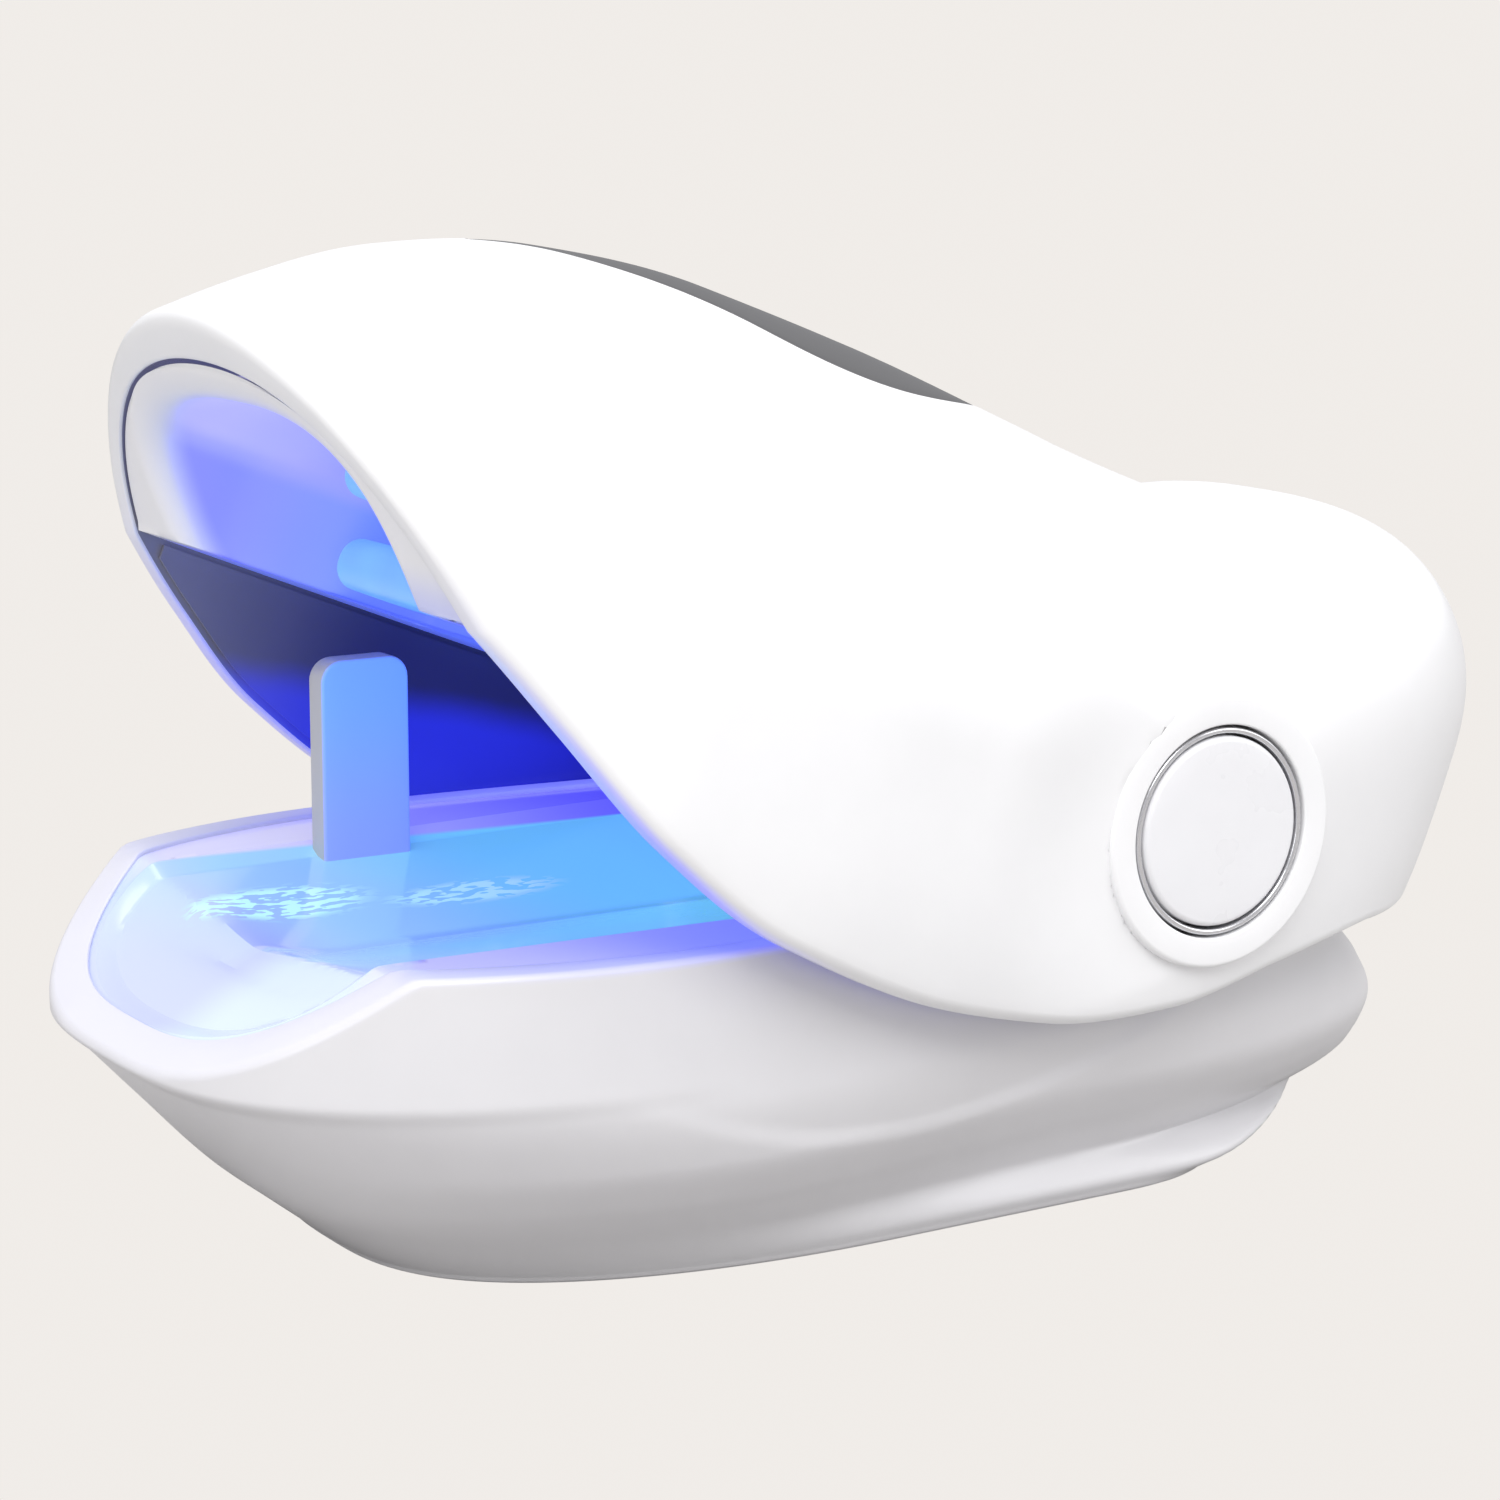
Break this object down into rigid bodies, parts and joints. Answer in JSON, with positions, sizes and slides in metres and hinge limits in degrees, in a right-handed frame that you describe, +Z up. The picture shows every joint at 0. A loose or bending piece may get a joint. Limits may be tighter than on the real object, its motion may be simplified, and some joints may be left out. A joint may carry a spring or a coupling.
{
  "type": "hinged clamshell light sanitizer",
  "caption": "Hand-sized white clamshell with a footed base, a shallow tray, and a skirted lid that carries a glowing light chamber.",
  "frame": {"origin": "on the floor, under the middle of the object's length and on its plane of symmetry", "axes": "+Z up; -X toward the open mouth, the way the device faces; +X toward the hinge and tail; -Y toward the side with the power button"},
  "size_m": [0.1027, 0.0598, 0.0633],
  "materials": {
    "shell": "satin white moulding",
    "shell_base": "satin white moulding",
    "cap": "smooth white",
    "insert": "smooth pale grey, lit violet-blue inside",
    "liner": "smoked dark indigo",
    "window": "smoked black, glossy",
    "light_bar": "frosted diffuser, glows light blue",
    "led": "emitter, glows violet-blue",
    "chrome": "bright ring",
    "steel": "plated",
    "brass": "turned",
    "board": "circuit board, green",
    "dark": "black moulding",
    "cell": "foil pouch",
    "rubber": "matt black",
    "cover": "fine texture, pale grey",
    "tray": "glossy, washed with blue light",
    "tab": "smooth, pale, catches blue light"
  },
  "bodies": {
    "base": {"base_shell": "shell_base", "tray": "tray", "interlock_tab": "tab", "bottom_cover": "cover", "battery_cell": "cell", "main_board": "board", "board_screw_1": "steel", "board_screw_2": "steel", "charging_socket": "steel", "charge_board": "board", "hinge_pedestal": "dark", "pedestal_screw_left": "steel", "pedestal_screw_right": "steel", "hinge_bush_left": "brass", "hinge_bush_right": "brass", "friction_washer_left": "rubber", "friction_washer_right": "rubber", "cover_screw_1": "steel", "foot_pad_1": "rubber", "cover_screw_2": "steel", "foot_pad_2": "rubber", "cover_screw_3": "steel", "foot_pad_3": "rubber", "cover_screw_4": "steel", "foot_pad_4": "rubber"},
    "lid": {"lid_shell": "shell", "light_chamber": "insert", "skirt_liner_left": "liner", "skirt_liner_right": "liner", "display_window": "window", "display_module": "dark", "display_board": "board", "display_screw_front": "steel", "display_screw_rear": "steel", "emitter_board": "board", "emitter_led_1": "led", "emitter_led_2": "led", "emitter_led_3": "led", "emitter_led_4": "led", "light_bar_lower": "light_bar", "light_bar_upper": "light_bar", "interlock_sensor": "dark", "hinge_frame": "dark", "frame_screw_left": "steel", "frame_screw_right": "steel", "hinge_shaft": "steel", "trim_ring_left": "chrome", "trim_ring_right": "chrome", "hinge_cap": "cap", "tact_switch": "dark"},
    "button": {"power_button": "cap", "switch_plunger": "insert"}
  },
  "joints": [
    {"name": "lid_hinge", "type": "hinge", "parent": "base", "child": "lid", "pos_m": [0.0128, 0, 0.02655], "axis": [0, 1, 0], "range_deg": [-21.8, 0]},
    {"name": "power_press", "type": "slide", "parent": "lid", "child": "button", "axis": [0, 1, 0], "range_m": [0, 0.0006], "stiffness_N_per_m": 1200, "springref_m": -0.0002}
  ]
}
